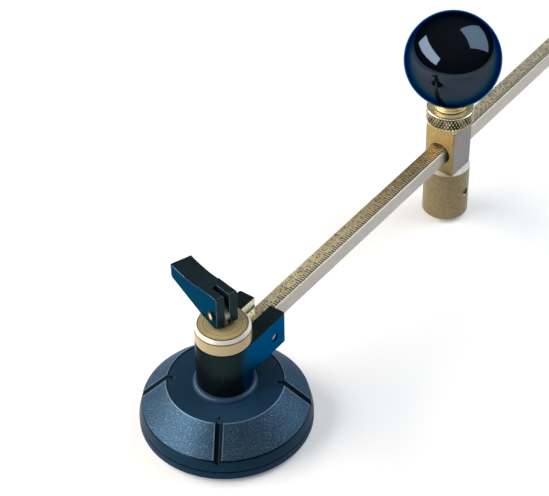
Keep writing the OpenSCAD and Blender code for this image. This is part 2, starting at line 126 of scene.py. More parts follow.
def buildBrush():
    # fine scratches, long in the direction that is squeezed most
    group, place, start, end = startGroup(
        "lengthBrush", {"Scale": 2500.0, "Squeeze": (0.02, 1.0, 1.0)}, ["Height"])
    squeeze = addNode(group, "VectorMath", operation="MULTIPLY")
    lines = addNode(group, "TexNoise", {"Detail": 3.0, "Roughness": 0.6})
    join(group,
         (place, "Object", squeeze, 0), (start, "Squeeze", squeeze, 1), (squeeze, 0, lines, "Vector"),
         (start, "Scale", lines, "Scale"), (lines, "Fac", end, "Height"))
    return group


def buildRings():
    # marks of the turning tool, round an upright axis at Centre X
    group, place, start, end = startGroup(
        "turnedRings", {"Centre X": 0.0, "Per Metre": 2500.0}, ["Height", "Mask"])
    split = addNode(group, "SeparateXYZ")
    across = addNode(group, "Math", operation="SUBTRACT")
    flat = addNode(group, "CombineXYZ")
    reach = addNode(group, "VectorMath", operation="LENGTH")
    both = addNode(group, "Math", operation="ADD")
    count = addNode(group, "Math", operation="MULTIPLY")
    lines = addNode(group, "TexNoise", {"Scale": 1.0, "Detail": 2.0}, noise_dimensions="1D")
    span = addNode(group, "MapRange", {"From Min": 0.46, "From Max": 0.62})
    join(group,
         (place, "Object", split, 0), (split, "X", across, 0), (start, "Centre X", across, 1),
         (across, 0, flat, "X"), (split, "Y", flat, "Y"), (flat, 0, reach, 0),
         (reach, "Value", both, 0), (split, "Z", both, 1), (both, 0, count, 0),
         (start, "Per Metre", count, 1), (count, 0, lines, "W"), (lines, "Fac", span, "Value"),
         (lines, "Fac", end, "Height"), (span, "Result", end, "Mask"))
    return group


def buildWear():
    # painted highlight along the rounded edges where the edge tone is light, painted shade where it is
    # dark: the bevels carry edgeMask, and noise breaks it up
    group, place, start, end = startGroup("edgeWear", {"Scale": 400.0, "Amount": 0.6}, ["Mask"])
    edge = addNode(group, "Attribute", attribute_name="edgeMask")
    cloud = addNode(group, "TexNoise", {"Detail": 4.0})
    span = addNode(group, "MapRange", {"From Min": 0.35, "From Max": 0.65, "To Min": 0.35})
    broken = addNode(group, "Math", operation="MULTIPLY")
    scaled = addNode(group, "Math", operation="MULTIPLY", use_clamp=True)
    join(group,
         (place, "Object", cloud, "Vector"), (start, "Scale", cloud, "Scale"),
         (cloud, "Fac", span, "Value"), (edge, "Fac", broken, 0), (span, "Result", broken, 1),
         (broken, 0, scaled, 0), (start, "Amount", scaled, 1), (scaled, 0, end, "Mask"))
    return group


def buildFade():
    # a mask that grows from From to To, measured along one direction
    group, place, start, end = startGroup(
        "lengthFade", {"Along": (1, 0, 0), "From": 0.0, "To": 0.1}, ["Mask"])
    reach = addNode(group, "VectorMath", operation="DOT_PRODUCT")
    span = addNode(group, "MapRange", interpolation_type="SMOOTHSTEP")
    join(group,
         (place, "Object", reach, 0), (start, "Along", reach, 1), (reach, "Value", span, "Value"),
         (start, "From", span, "From Min"), (start, "To", span, "From Max"), (span, "Result", end, "Mask"))
    return group


mottleGroup = buildMottle()
grainGroup = buildGrain()
brushGroup = buildBrush()
ringGroup = buildRings()
edgeShadingGroup = buildWear()
fadeGroup = buildFade()
print("node groups:", len(bpy.data.node_groups))


def startFinish(name, settings):
    # a new material, with what is the same all over set on its shader
    finish = bpy.data.materials.new(name)
    finish.use_nodes = True
    shader = finish.node_tree.nodes["Principled BSDF"]
    for entry, value in settings.items():
        shader.inputs[entry].default_value = value
    return finish, finish.node_tree, shader


def placeGroup(tree, group, values):
    return addNode(tree, "Group", values, node_tree=group)


def mixInto(tree, mask, under, over):
    blend = addNode(tree, "Mix", data_type="RGBA")
    tree.links.new(mask, blend.inputs[mixFactor])
    tree.links.new(under, blend.inputs[mixUnder])
    blend.inputs[mixOver].default_value = (*over, 1)
    return blend.outputs[mixResult]


def addBump(tree, height, depth, strength, under=None):
    bump = addNode(tree, "Bump", {"Strength": strength, "Distance": depth})
    tree.links.new(height, bump.inputs["Height"])
    if under:
        tree.links.new(under, bump.inputs["Normal"])
    return bump.outputs["Normal"]


def makeFinish(name, look):
    finish, tree, shader = startFinish(name, {
        "Metallic": look.get("metal", 0.0), "Specular IOR Level": look.get("gloss", 0.5),
        "Specular Tint": (*look.get("glossTint", (1, 1, 1)), 1)})
    link = tree.links.new
    scale, spread = look["mottle"]
    mottle = placeGroup(tree, mottleGroup, {
        "Scale": scale, "Spread": spread, "Low": (*look["low"], 1), "High": (*look["high"], 1)})
    colour = mottle.outputs["Color"]
    normal = None
    for along, fadeFrom, fadeTo, fadeColour in look.get("fades", ()):
        fade = placeGroup(tree, fadeGroup, {"Along": along, "From": fadeFrom, "To": fadeTo})
        colour = mixInto(tree, fade.outputs["Mask"], colour, fadeColour)
    if "grain" in look:
        scale, depth, strength = look["grain"]
        speck, speckFrom, speckTo = look.get("speck", (None, 0.0, 1.0))
        grain = placeGroup(tree, grainGroup, {"Scale": scale, "Speck From": speckFrom, "Speck To": speckTo})
        if speck:
            colour = mixInto(tree, grain.outputs["Specks"], colour, speck)
        normal = addBump(tree, grain.outputs["Height"], depth, strength, normal)
    if "brush" in look:
        scale, squeeze, depth, strength = look["brush"]
        brush = placeGroup(tree, brushGroup, {"Scale": scale, "Squeeze": squeeze})
        normal = addBump(tree, brush.outputs["Height"], depth, strength, normal)
    if "rings" in look:
        centre, perMetre, depth, strength = look["rings"]
        rings = placeGroup(tree, ringGroup, {"Centre X": centre, "Per Metre": perMetre})
        normal = addBump(tree, rings.outputs["Height"], depth, strength, normal)
        if "ringTone" in look:
            colour = mixInto(tree, rings.outputs["Mask"], colour, look["ringTone"])
    # edge: a painted highlight along the rounded edges where its tone is light, painted shade where it is
    # dark
    if "edge" in look:
        tone, amount = look["edge"]
        edgeShade = placeGroup(tree, edgeShadingGroup, {"Amount": amount})
        colour = mixInto(tree, edgeShade.outputs["Mask"], colour, tone)
    link(colour, shader.inputs["Base Color"])
    roughLow, roughHigh = look["rough"]
    span = addNode(tree, "MapRange", {"To Min": roughLow, "To Max": roughHigh})
    link(mottle.outputs["Mask"], span.inputs["Value"])
    link(span.outputs["Result"], shader.inputs["Roughness"])
    if normal:
        link(normal, shader.inputs["Normal"])
    return finish


def finishSet(prefix, looks, **shared):
    # one finish for each look, by the look's name, with the settings that the looks share
    return {key: makeFinish(prefix + key[0].upper() + key[1:], {**shared, **look})
            for key, look in looks.items()}


fineGrit = (2600, 0.01 * mm, 0.2)


# Mesh helpers

weldGap = 0.002 * mm
cutGap = 0.001 * mm
# in degrees: what counts as flat, what is shaded as one surface, what is an edge to round
flatAngle, softAngle, edgeAngle = 0.4, 40.0, 28.0
freshIndex = 99
upward = Vector((0, 0, 1))
# the least share of a normal along an axis at which a face counts as square to it
squareTo = 0.9


def addObject(name, data):
    thing = bpy.data.objects.new(name, data)
    bpy.context.scene.collection.objects.link(thing)
    return thing


def copyNode(name):
    # a bare copy of a solid's mesh, welded and with its flat faces joined up
    source = nodes[name].data
    shell = bmesh.new()
    points = [shell.verts.new(v.co) for v in source.vertices]
    for polygon in source.polygons:
        shell.faces.new([points[i] for i in polygon.vertices])
    bmesh.ops.remove_doubles(shell, verts=shell.verts[:], dist=weldGap)
    bmesh.ops.dissolve_degenerate(shell, edges=shell.edges[:], dist=cutGap)
    bmesh.ops.dissolve_limit(
        shell, angle_limit=math.radians(flatAngle), verts=shell.verts[:], edges=shell.edges[:])
    bmesh.ops.recalc_face_normals(shell, faces=shell.faces[:])
    return shell


def cutFaces(shell, faces, spot, across):
    # cuts only these faces, along a plane
    parts = {part for face in faces for part in (*face.edges, *face.verts)}
    bmesh.ops.bisect_plane(shell, geom=faces + list(parts), dist=cutGap, plane_co=spot, plane_no=across)


def roundEdges(shell, width, sharpest=edgeAngle, wanted=None, segments=2):
    # rounds the outer edges and marks them for the painted edge highlight and shade
    mask = shell.verts.layers.float.get("edgeMask") or shell.verts.layers.float.new("edgeMask")
    edges = [edge for edge in shell.edges
             if len(edge.link_faces) == 2 and edge.is_convex
             and math.degrees(edge.calc_face_angle(0.0)) >= sharpest and (not wanted or wanted(edge))]
    bmesh.ops.bevel(
        shell, geom=edges, offset=width, offset_type="OFFSET", segments=segments, profile=0.5,
        affect="EDGES", clamp_overlap=True, material=freshIndex)
    rounded = [face for face in shell.faces if face.material_index == freshIndex]
    for vert in {v for face in rounded for v in face.verts}:
        if all(face.material_index == freshIndex for face in vert.link_faces):
            vert[mask] = 1.0
    # each rounding takes the finish of a face beside it
    while rounded:
        for face in rounded:
            beside = [other.material_index for edge in face.edges for other in edge.link_faces]
            face.material_index = min(beside)
        waiting = [face for face in rounded if face.material_index == freshIndex]
        if len(waiting) == len(rounded):
            break
        rounded = waiting


def paintRegions(shell, finishes, regionOf):
    order = list(finishes)
    for face in shell.faces:
        face.material_index = order.index(regionOf(face.calc_center_median(), face.normal))


def ofNode(node):
    # body, slot and replaced nodes of a piece that stands for one solid
    return bodyOfNode[node], slotOfNode[node], (node,)


def finishPiece(shell, name, finishes, body, slot, replaced=(), flatFaces=()):
    for face in shell.faces:
        face.smooth = face not in flatFaces
    for edge in shell.edges:
        if len(edge.link_faces) == 2:
            edge.smooth = math.degrees(edge.calc_face_angle(0.0)) < softAngle
    mesh = bpy.data.meshes.new(name)
    openEdges = sum(1 for edge in shell.edges if len(edge.link_faces) != 2)
    shell.to_mesh(mesh)
    shell.free()
    for finish in finishes.values():
        mesh.materials.append(finish)
    piece = addObject(name, mesh)
    facing = piece.modifiers.new("evenFacing", "WEIGHTED_NORMAL")
    facing.keep_sharp = True
    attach(piece, body)
    if replaced:
        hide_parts(*replaced)
    print("  " + name + ":", len(mesh.polygons), "faces,", openEdges, "open edges")


def dressNode(node, name, finishes, regionOf, width, **rounding):
    shell = copyNode(node)
    paintRegions(shell, finishes, regionOf)
    roundEdges(shell, width, **rounding)
    finishPiece(shell, name, finishes, *ofNode(node))


def addBlock(shell, low, high):
    corners = [shell.verts.new((x, y, z)) for z in (low[2], high[2])
               for y in (low[1], high[1]) for x in (low[0], high[0])]
    for ring in ((0, 2, 3, 1), (4, 5, 7, 6), (0, 1, 5, 4), (1, 3, 7, 5), (3, 2, 6, 7), (2, 0, 4, 6)):
        shell.faces.new([corners[i] for i in ring])


def turnShell(outline, finishes, segments):
    # turns an outline of (radius, height, finish) round Z: it runs from axis to axis, or closes on itself
    shell = bmesh.new()
    order = list(finishes)
    rings = []
    for radius, height, finish in outline:
        angles = [2 * math.pi * i / segments for i in range(segments if radius else 1)]
        rings.append([shell.verts.new((radius * math.cos(a), radius * math.sin(a), height))
                      for a in angles])
    bands = len(outline) if outline[0][0] else len(outline) - 1
    for band in range(bands):
        here, there = rings[band], rings[(band + 1) % len(rings)]
        for i in range(segments):
            after = (i + 1) % segments
            corners = (here[i % len(here)], here[after % len(here)],
                       there[after % len(there)], there[i % len(there)])
            face = shell.faces.new(list(dict.fromkeys(corners)))
            face.material_index = order.index(outline[band][2])
    bmesh.ops.recalc_face_normals(shell, faces=shell.faces[:])
    return shell


# Camera, at the photograph's angle

cameraLook = dict(
    position=(-0.31413, -0.261951, 0.427786), turn=52.44, tilt=41.15, roll=-1.24,
    lens=122.07, sensor=36.0, nearest=0.01,
)


def makeCamera(look):
    turn, tilt, roll = (math.radians(look[key]) for key in ("turn", "tilt", "roll"))
    ahead = Vector((math.sin(turn) * math.cos(tilt), math.cos(turn) * math.cos(tilt), -math.sin(tilt)))
    level = ahead.cross(upward).normalized()
    rising = level.cross(ahead)
    right = math.cos(roll) * level + math.sin(roll) * rising
    above = math.cos(roll) * rising - math.sin(roll) * level
    data = bpy.data.cameras.new("photoCamera")
    data.lens = look["lens"]
    data.sensor_width = look["sensor"]
    data.sensor_fit = "HORIZONTAL"
    data.clip_start = look["nearest"]
    camera = addObject("photoCamera", data)
    pose = Matrix((right, above, -ahead)).transposed().to_4x4()
    pose.translation = Vector(look["position"])
    camera.matrix_world = pose
    bpy.context.scene.camera = camera


makeCamera(cameraLook)
print("camera set")


# Suction pad: matt rubber with a bevelled lip, its top edge painted near-black as painted shade in the seam
# under the cover

padLook = {
    "rubber": dict(
        low=(0.002, 0.022, 0.054), high=(0.003, 0.028, 0.066), mottle=(90, 0.3), rough=(0.42, 0.55),
        gloss=0.15, glossTint=(0.2, 0.6, 1.0), grain=(3000, 0.02 * mm, 0.3),
        # the near-black edge tone is painted shade in the seam under the cover
        edge=((0.001, 0.003, 0.006), 1.6)),
}
padSize = dict(round=0.45 * mm, sharpest=30.0)
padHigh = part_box("suction_pad")[1]


def padSeam(edge):
    return all(v.co.xy.length > 0.8 * padHigh.x and v.co.z > 0.4 * padHigh.z for v in edge.verts)


dressNode("suction_pad", "suctionPad", finishSet("pad", padLook), lambda centre, normal: "rubber",
          padSize["round"], sharpest=padSize["sharpest"], wanted=padSeam)


# Foot cover: grained panels between grooves, smooth ring and collar, plain skirt; grooves and skirt seams
# painted dark as painted shade, other edges and strips painted light as painted highlights

coverLook = {
    "panel": dict(
        low=(0.027, 0.058, 0.096), high=(0.036, 0.077, 0.125), mottle=(260, 0.3), rough=(0.36, 0.44),
        metal=0.6, gloss=0.08, glossTint=(0.1, 0.3, 0.4), grain=(3400, 0.08 * mm, 0.9),
        speck=((0.20, 0.30, 0.40), 0.53, 0.74), edge=((0.30, 0.45, 0.62), 1.8)),
    # the grooves are painted near-black as painted shade in the recesses; the light edge tones of panel,
    # groove, collar and ring are painted highlights
    "groove": dict(
        low=(0.002, 0.005, 0.009), high=(0.003, 0.008, 0.014), mottle=(160, 0.35), rough=(0.30, 0.38),
        gloss=0.15, glossTint=(0.4, 0.72, 1.0), grain=(3500, 0.012 * mm, 0.25),
        edge=((0.20, 0.32, 0.46), 1.0)),
    # the skirt's near-black edge tone paints shade at its seams
    "skirt": dict(
        low=(0.005, 0.024, 0.044), high=(0.007, 0.029, 0.053), mottle=(120, 0.3), gloss=0.12,
        glossTint=(0.2, 0.6, 1.0), grain=(3200, 0.02 * mm, 0.3), edge=((0.001, 0.003, 0.006), 1.4)),
    "collar": dict(
        low=(0.018, 0.050, 0.094), high=(0.024, 0.062, 0.116), mottle=(160, 0.3), gloss=0.3,
        edge=((0.09, 0.17, 0.27), 0.8)),
    "ring": dict(
        low=(0.0085, 0.027, 0.050), high=(0.012, 0.036, 0.067), mottle=(140, 0.3), rough=(0.30, 0.38),
        gloss=0.2, glossTint=(0.4, 0.72, 1.0), grain=(3500, 0.012 * mm, 0.25),
        edge=((0.06, 0.12, 0.20), 0.8)),
    # light strips beside the grooves and along the panels' upper edge: a painted highlight
    "rubbed": dict(
        low=(0.085, 0.135, 0.185), high=(0.16, 0.235, 0.31), mottle=(500, 0.2), metal=0.3, gloss=0.2),
}
coverSize = dict(round=0.22 * mm, seam=0.4 * mm, rubbed=0.34 * mm, brow=0.24 * mm, sharpest=24.0,
                 panelDeep=0.25 * mm, grooveLong=2.0 * mm, footHigh=1.0 * mm, rimWide=0.5 * mm,
                 near=0.1 * mm)
coverFinishes = finishSet("cover", coverLook, rough=(0.34, 0.42), grain=(3500, 0.01 * mm, 0.2))
panelIndex, grooveIndex, highlightStripIndex = (list(coverLook).index(key) for key in ("panel", "groove", "rubbed"))
coverLow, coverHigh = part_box("foot_cover")
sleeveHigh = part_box("swivel_sleeve")[1]


def coneReach(point):
    return point.xy.length + point.z


panelFloor = max(coneReach(v.co) for v in nodes["foot_cover"].data.vertices
                 if v.co.z > 0.5 * coverHigh.z) - coverSize["panelDeep"]


def coverRegion(face):
    centre, normal = face.calc_center_median(), face.normal
    reach = max(v.co.xy.length for v in face.verts)
    if reach < 1.2 * sleeveHigh.y and centre.z > 0.9 * coverHigh.z:
        return "collar"
    if normal.z > 0.95 and centre.z > 0.75 * coverHigh.z:
        return "ring"
    if 0.4 < normal.z < 0.92 and centre.xy.dot(normal.xy) > 0 and coneReach(centre) > panelFloor:
        return "panel"
    outward = centre.xy.normalized().dot(normal.xy) > 0.5 and abs(normal.z) < 0.4
    if outward and reach > 0.94 * coverHigh.x and centre.z < 0.5 * coverHigh.z + coverLow.z:
        return "skirt"
    return "skirt" if normal.z < -0.4 else "groove"


def grooveSides(shell, shortest):
    # a point on each long groove edge, and the level direction from it onto its panel
    sides = []
    for edge in shell.edges:
        if {face.material_index for face in edge.link_faces} == {panelIndex, grooveIndex}:
            spot, along = edge.verts[0].co.copy(), edge.verts[1].co - edge.verts[0].co
            if along.length > shortest and abs(along.xy.normalized().dot(spot.xy.normalized())) > 0.9:
                panel = next(face for face in edge.link_faces if face.material_index == panelIndex)
                across = Vector((-along.y, along.x, 0)).normalized()
                onto = panel.calc_center_median() - spot
                sides.append((spot, across if across.dot(onto) > 0 else -across))
    return sides


def rubStrip(shell, spot, across, wide):
    # cuts a strip of that width from the panel beside a groove, to carry a painted highlight
    def beside(face, limit):
        onSide = face.material_index == panelIndex and face.calc_center_median().xy.dot(spot.xy) > 0
        return onSide and limit(across.dot(v.co - spot) for v in face.verts)

    faces = [f for f in shell.faces if beside(f, lambda spans: -wide < min(spans) < wide)]
    cutFaces(shell, faces, spot + wide * across, across)
    for face in shell.faces:
        if beside(face, lambda spans: all(-wide < span < 1.02 * wide for span in spans)):
            face.material_index = highlightStripIndex


def makeCover(size):
    # the foot of the skirt is rounded more, and the skirt's dark edge tone paints that rounding as a dark
    # seam above the pad: painted shade
    shell = copyNode("foot_cover")
    order = list(coverFinishes)
    for face in shell.faces:
        face.material_index = order.index(coverRegion(face))
    rim = max(v.co.xy.length for v in shell.verts)
    foot = min(v.co.z for v in shell.verts if v.co.xy.length > rim - size["near"])

    def seam(edge):
        return all(v.co.xy.length > rim - size["rimWide"] and abs(v.co.z - foot) < size["near"]
                   for v in edge.verts)

    def rest(edge):
        return all(v.co.xy.length > 0.35 * coverHigh.x and v.co.z > foot + size["footHigh"]
                   for v in edge.verts)

    roundEdges(shell, size["seam"], size["sharpest"], seam)
    sides = grooveSides(shell, size["grooveLong"])
    roundEdges(shell, size["round"], size["sharpest"], rest)
    for spot, across in sides:
        rubStrip(shell, spot, across, size["rubbed"])
    # the panels' upper edge gets a painted highlight strip too
    panels = [face for face in shell.faces if face.material_index == panelIndex]
    brow = max(v.co.z for face in panels for v in face.verts) - size["brow"]
    cutFaces(shell, panels, (0, 0, brow), upward)
    for face in shell.faces:
        if face.material_index == panelIndex and face.calc_center_median().z > brow:
            face.material_index = highlightStripIndex
    finishPiece(shell, "footCover", coverFinishes, *ofNode("foot_cover"))


makeCover(coverSize)


# Swivel sleeve: dark lacquer outside, bare metal inside the fork; the column front and the tops are painted
# darker as painted shade, the column fades to blue as a painted reflection, the edges carry a painted
# highlight

sleeveLook = {
    "paint": dict(
        low=(0.003, 0.056, 0.130), high=(0.004, 0.062, 0.142), metal=1.0, glossTint=(0.2, 0.6, 0.9),
        grain=fineGrit, edge=((0.16, 0.26, 0.42), 0.7)),
    # the column's front is a darker copy of the lacquer as painted shade, fading into the brow's blue as a
    # painted reflection
    "column": dict(
        low=(0.011, 0.019, 0.019), high=(0.014, 0.024, 0.025), metal=0.75, gloss=0.08,
        glossTint=(0.1, 0.3, 0.4), fades=[((1, 0, 0), -3.2 * mm, 0.3 * mm, (0.0035, 0.059, 0.136))],
        grain=fineGrit, edge=((0.10, 0.18, 0.30), 0.7)),
    "bare": dict(
        low=(0.42, 0.44, 0.47), high=(0.66, 0.67, 0.68), mottle=(260, 0.2), rough=(0.28, 0.42), metal=1.0,
        brush=(2200, (0.05, 1.0, 1.0), 0.02 * mm, 0.3)),
    # the up-facing tops are a darker copy of the lacquer: painted shade
    "crown": dict(
        low=(0.018, 0.027, 0.026), high=(0.022, 0.034, 0.033), rough=(0.22, 0.30),
        metal=0.5, gloss=0.15, glossTint=(0.3, 0.65, 0.9), grain=fineGrit, edge=((0.16, 0.26, 0.42), 0.7)),
}
sleeveSize = dict(round=0.28 * mm, forkGap=0.3 * mm, near=0.3 * mm)
sleeveFinishes = finishSet("sleeve", sleeveLook, mottle=(130, 0.3), rough=(0.20, 0.26))
barLow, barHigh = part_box("measuring_bar")


def sleeveRegion(centre, normal):
    inside = abs(centre.y) < barHigh.y + sleeveSize["forkGap"] and centre.x > 0.6 * sleeveHigh.y
    if inside and (abs(normal.y) > squareTo or normal.x > squareTo):
        return "bare"
    onColumn = abs(centre.xy.length - sleeveHigh.y) < sleeveSize["near"]
    if onColumn and abs(normal.z) < 0.3 and centre.x < 0:
        return "column"
    return "crown" if normal.z > squareTo else "paint"


dressNode("swivel_sleeve", "swivelSleeve", sleeveFinishes, sleeveRegion, sleeveSize["round"],
          wanted=lambda edge: edge.verts[0].co.xy.length > 0.8 * sleeveHigh.y)


# Lever: the same lacquer, its flanks painted bluer as a painted reflection, its other faces darker as
# painted shade, and its edges light as a painted highlight

leverLook = {
    # flanks painted bluer as a painted reflection; the other faces darker as painted shade
    "flank": dict(
        low=(0.010, 0.037, 0.068), high=(0.012, 0.042, 0.080), rough=(0.20, 0.26), metal=1.0,
        glossTint=(0.4, 0.5, 0.6)),
    "face": dict(
        low=(0.013, 0.024, 0.028), high=(0.017, 0.031, 0.037), rough=(0.20, 0.28), metal=0.5, gloss=0.1,
        glossTint=(0.3, 0.5, 0.6)),
}
leverSize = dict(round=0.5 * mm, segments=3)
leverFinishes = finishSet("lever", leverLook, mottle=(150, 0.3), grain=(2400, 0.012 * mm, 0.2),
                          edge=((0.24, 0.32, 0.46), 0.85))
leverJoint = next(joint for joint in record["behaviour"]["joints"] if joint["name"] == "lever_turn")
leverAxis, leverSpot = Vector(leverJoint["axis"]), Vector(leverJoint["pos_m"])
leverHalf = max(abs(v.co.dot(leverAxis)) for v in nodes["lever"].data.vertices)


def leverRegion(centre, normal):
    outside = abs(centre.dot(leverAxis)) > 0.8 * leverHalf
    return "flank" if outside and abs(normal.dot(leverAxis)) > 0.8 else "face"


dressNode("lever", "camLever", leverFinishes, leverRegion, leverSize["round"],
          segments=leverSize["segments"])


# Cap: turned brass with a chamfer painted near-white as a painted highlight between two lines painted dark
# as painted shade

capLook = {
    "top": dict(
        low=(0.50, 0.41, 0.25), high=(0.64, 0.46, 0.16), mottle=(110, 0.16), rough=(0.24, 0.36),
        metal=0.3, rings=(0.0, 2400, 0.05 * mm, 0.8), ringTone=(0.30, 0.23, 0.12)),
    # the chamfer's near-white tone is a painted highlight
    "chamfer": dict(
        low=(0.88, 0.81, 0.66), high=(0.96, 0.91, 0.80), mottle=(200, 0.3), rough=(0.26, 0.34), metal=0.2,
        rings=(0.0, 2600, 0.02 * mm, 0.25)),
    "side": dict(
        low=(0.44, 0.345, 0.185), high=(0.52, 0.41, 0.225), mottle=(120, 0.4), rough=(0.30, 0.34),
        metal=0.55, brush=(900, (1.0, 1.0, 0.03), 0.02 * mm, 0.3)),
    # the dark lines beside the chamfer are painted shade
    "line": dict(
        low=(0.12, 0.085, 0.03), high=(0.20, 0.14, 0.055), mottle=(400, 0.2), rough=(0.34, 0.44),
        metal=0.5, grain=fineGrit),
}
capSize = dict(chamferWide=1.0 * mm, chamferHigh=1.5 * mm, line=0.24 * mm, round=0.14 * mm,
               near=0.01 * mm, segments=128)


def makeCap(size, finishes):
    low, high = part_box("top_cap")
    points = [v.co for v in nodes["top_cap"].data.vertices]
    bore = min(p.xy.length for p in points if high.z - p.z < size["near"])
    neck = min(p.xy.length for p in points if p.z - low.z < size["near"])
    neckTop = max(p.z for p in points if abs(p.xy.length - neck) < size["near"])
    outer, shoulder = high.y, high.z - size["chamferHigh"]
    inner = outer - size["chamferWide"]
    line, rounding = size["line"], size["round"]
    slope = Vector((size["chamferWide"], -size["chamferHigh"])).normalized() * line
    outline = [
        (bore, high.z, "top"), (inner - line, high.z, "line"),
        (inner + slope.x, high.z + slope.y, "chamfer"), (outer - slope.x, shoulder - slope.y, "line"),
        (outer, shoulder - line, "side"),
        (outer, low.z + rounding, "chamfer"), (outer - rounding, low.z, "side"),
        (neck, low.z, "side"), (neck, neckTop, "side"), (bore, neckTop, "side")]
    finishPiece(turnShell(outline, finishes, size["segments"]), "topCap", finishes, *ofNode("top_cap"))


makeCap(capSize, finishSet("cap", capLook))


# Pins: a dished end with a rim painted dark as painted shade; the pivot pin's light blue dish is a painted
# highlight

pinLook = {
    "pivot": {
        # the rims are painted dark as painted shade
        "rim": dict(
            low=(0.005, 0.008, 0.012), high=(0.014, 0.024, 0.036), mottle=(700, 0.15), rough=(0.28, 0.38),
            metal=0.9),
        # the pivot pin's light blue dish is a painted highlight
        "dish": dict(
            low=(0.10, 0.19, 0.30), high=(0.34, 0.50, 0.66), mottle=(700, 0.12), rough=(0.24, 0.34),
            metal=0.9)},
    "lever": {
        "rim": dict(
            low=(0.03, 0.022, 0.012), high=(0.09, 0.068, 0.035), mottle=(500, 0.15), rough=(0.28, 0.38),
            metal=0.8),
        "dish": dict(
            low=(0.70, 0.58, 0.34), high=(0.90, 0.80, 0.58), mottle=(500, 0.2), rough=(0.24, 0.34),
            metal=0.5)},
}
pinSize = dict(dish=0.2 * mm, rim=0.3 * mm, round=0.25 * mm, segments=48)


def makePin(node, name, key, spot, axis, size):
    finishes = finishSet(key, pinLook[key], grain=(2600, 0.015 * mm, 0.25))
    points = [v.co - spot for v in nodes[node].data.vertices]
    half = max(abs(p.dot(axis)) for p in points)
    radius = max((p - p.dot(axis) * axis).length for p in points)
    dish = radius - size["rim"] - size["round"]
    upper = [(0, half - size["dish"], "dish"), (dish, half - size["dish"], "rim"),
             (dish + size["dish"], half, "rim"), (radius - size["round"], half, "rim"),
             (radius, half - size["round"], "rim")]
    lower = [(reach, -height, "dish" if reach == dish else "rim")
             for reach, height, finish in reversed(upper)]
    shell = turnShell(upper + lower, finishes, size["segments"])
    place = Matrix.Translation(spot) @ axis.to_track_quat("Z", "Y").to_matrix().to_4x4()
    bmesh.ops.transform(shell, matrix=place, verts=shell.verts[:])
    finishPiece(shell, name, finishes, *ofNode(node))


pivotLow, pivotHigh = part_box("bar_pivot_pin")
pivotSpot = 0.5 * (pivotLow + pivotHigh)
makePin("bar_pivot_pin", "barPivotPin", "pivot", pivotSpot, Vector((0, 1, 0)), pinSize)
makePin("lever_pin", "leverPin", "lever", leverSpot, leverAxis, pinSize)
print("foot dressed")


# Bar: brushed brass, its sides painted paler and greyer than its scale face as a painted reflection, its
# upper bevel darker as painted shade and its lower bevel paler as a painted highlight

alongBar = (0.03, 1.0, 1.0)
barLook = {
    "face": dict(
        low=(0.76, 0.61, 0.32), high=(0.96, 0.79, 0.47), mottle=(260, 0.3), rough=(0.22, 0.32), metal=0.5,
        brush=(2600, alongBar, 0.03 * mm, 0.4), grain=(1300, 0.02 * mm, 0.3),
        speck=((0.11, 0.085, 0.045), 0.50, 0.66),
        # the face darkens towards the head and turns pale again past it: painted shade and a painted
        # reflection of the head
        fades=[((1, 0, 0), 0.03, 0.12, (0.37, 0.25, 0.09)), ((1, 0, 0), 0.124, 0.134, (0.68, 0.58, 0.38))]),
    # the sides are painted grey as a painted reflection
    "side": dict(
        low=(0.40, 0.37, 0.335), high=(0.48, 0.445, 0.40), mottle=(120, 0.25), rough=(0.30, 0.40),
        metal=0.8, brush=(2600, alongBar, 0.03 * mm, 0.35)),
    # the upper bevel is painted darker: painted shade
    "upper": dict(
        low=(0.33, 0.29, 0.235), high=(0.42, 0.375, 0.305), mottle=(300, 0.25), rough=(0.28, 0.38),
        metal=0.6),
    # the lower bevel is painted paler: painted highlight
    "lower": dict(
        low=(0.56, 0.52, 0.45), high=(0.76, 0.71, 0.63), mottle=(300, 0.25), rough=(0.24, 0.34),
        metal=0.8),
    "line": dict(
        low=(0.012, 0.007, 0.002), high=(0.05, 0.03, 0.01), mottle=(500, 0.2), rough=(0.40, 0.52),
        metal=0.2),
}
barSize = dict(round=0.05 * mm, line=0.34 * mm, sharpest=35.0, near=0.01 * mm)
barFinishes = finishSet("bar", barLook, brush=(2600, alongBar, 0.02 * mm, 0.3))


def barRegion(centre, normal):
    if abs(normal.z) > squareTo:
        return "face"
    if abs(normal.y) > squareTo or abs(normal.x) > squareTo:
        return "side"
    return "upper" if normal.z > 0 else "lower"


def makeBar(size):
    # a dark line runs along the top's near edge, under the scale
    shell = copyNode("measuring_bar")
    topEdge = max(v.co.y for v in shell.verts if v.co.z > barHigh.z - size["near"])
    lineEnd = size["line"] - topEdge
    paintRegions(shell, barFinishes, barRegion)
    roundEdges(shell, size["round"], size["sharpest"])
    cutFaces(shell, [f for f in shell.faces if f.normal.z > 0.99], (0, lineEnd, 0), (0, 1, 0))
    for face in shell.faces:
        if face.normal.z > 0.99 and face.calc_center_median().y < lineEnd:
            face.material_index = list(barFinishes).index("line")
    finishPiece(shell, "measuringBar", barFinishes, *ofNode("measuring_bar"))


makeBar(barSize)


# Scale: cut marks each millimetre and a number each 5 mm, read at the head's near face, each with a pale
# copy beside it as a painted highlight

